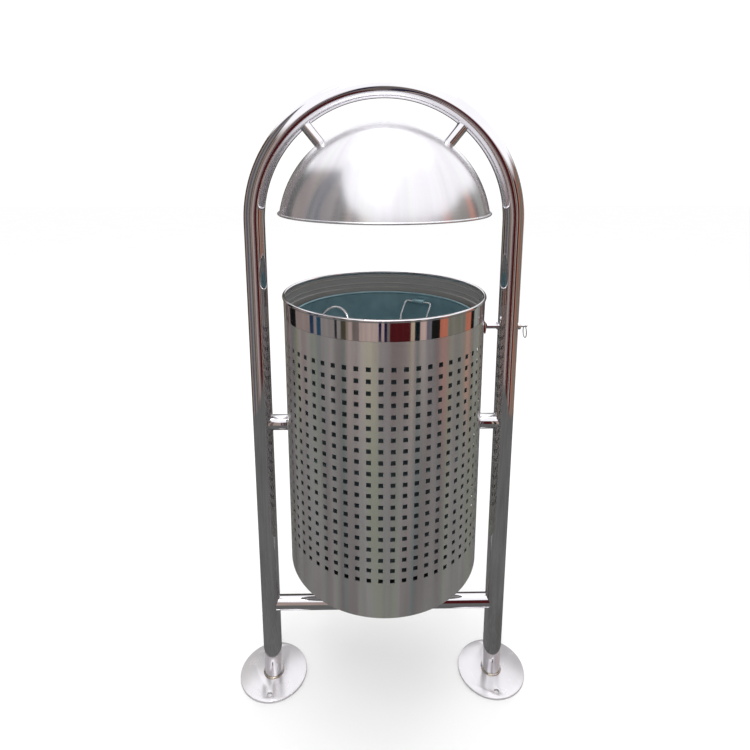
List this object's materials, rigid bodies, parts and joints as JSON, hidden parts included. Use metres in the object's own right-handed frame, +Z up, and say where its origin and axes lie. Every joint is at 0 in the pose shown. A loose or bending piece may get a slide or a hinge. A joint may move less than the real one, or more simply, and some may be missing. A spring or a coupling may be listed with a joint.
{
  "type": "tilting litter bin",
  "caption": "Free-standing litter bin: a perforated round barrel that tips between the legs of a bent tube hoop, with a rain dome above, a lift-out liner and a hand-drawn latch.",
  "frame": {"origin": "on the ground, midway between the two base plates: the bottom centre of the whole bin", "axes": "+Z up, +X towards the leg with the latch, -Y is the front and +Y the back of the hoop's plane"},
  "size_m": [0.61, 0.3816, 1.23],
  "materials": {
    "polished_steel": "mirror polished stainless steel",
    "satin_steel": "satin, grain running round the barrel",
    "spun_steel": "satin spun stainless steel, grain in rings",
    "galvanised_steel": "galvanised sheet with soft spangle",
    "bright_wire": "bright drawn steel",
    "weld_steel": "dressed weld and machined steel",
    "nylon": "natural nylon"
  },
  "bodies": {
    "hoop_frame": {"arch_tube": "polished_steel", "crossbar": "polished_steel", "base_plate_right": "polished_steel", "base_plate_left": "polished_steel", "foot_weld_right": "weld_steel", "foot_weld_left": "weld_steel", "rain_dome": "spun_steel", "dome_hanger_right": "polished_steel", "dome_hanger_left": "polished_steel", "pivot_stub_right": "polished_steel", "pivot_stub_left": "polished_steel", "pivot_plug_right": "weld_steel", "pivot_plug_left": "weld_steel", "pivot_bolt_right": "bright_wire", "pivot_bolt_left": "bright_wire", "pivot_washer_right": "bright_wire", "pivot_washer_left": "bright_wire", "latch_sleeve": "polished_steel", "latch_end_cap": "polished_steel"},
    "barrel": {"barrel_shell": "satin_steel", "barrel_collar": "polished_steel", "barrel_floor": "satin_steel", "rear_seam_strip": "satin_steel", "latch_keeper": "polished_steel", "pivot_bush_right": "nylon", "pivot_bush_left": "nylon", "pivot_pad_right": "satin_steel", "pivot_pad_left": "satin_steel"},
    "liner": {"liner": "galvanised_steel", "front_bail_strap": "galvanised_steel", "rear_bail_strap": "galvanised_steel"},
    "front_bail": {"front_bail": "bright_wire"},
    "rear_bail": {"rear_bail": "bright_wire"},
    "latch": {"latch_bolt": "polished_steel"},
    "pull_ring": {"pull_ring": "bright_wire"}
  },
  "joints": [
    {"name": "barrel_tilt", "type": "hinge", "parent": "hoop_frame", "child": "barrel", "pos_m": [0, 0, 0.585], "axis": [1, 0, 0], "range_deg": [-120, 120]},
    {"name": "liner_lift", "type": "slide", "parent": "barrel", "child": "liner", "axis": [0, 0, 1], "range_m": [0, 0.15]},
    {"name": "front_bail_swing", "type": "hinge", "parent": "liner", "child": "front_bail", "pos_m": [-0.09427, -0.12555, 0.79], "axis": [-0.7997, 0.6004, 0], "range_deg": [-30, 155]},
    {"name": "rear_bail_swing", "type": "hinge", "parent": "liner", "child": "rear_bail", "pos_m": [0.07755, 0.13651, 0.79], "axis": [0.8695, -0.4939, 0], "range_deg": [-143, 42]},
    {"name": "latch_slide", "type": "slide", "parent": "hoop_frame", "child": "latch", "axis": [1, 0, 0], "range_m": [-0.007, 0.009]},
    {"name": "ring_swing", "type": "hinge", "parent": "latch", "child": "pull_ring", "pos_m": [0.2675, 0, 0.779], "axis": [0, -1, 0], "range_deg": [-10, 95]}
  ]
}
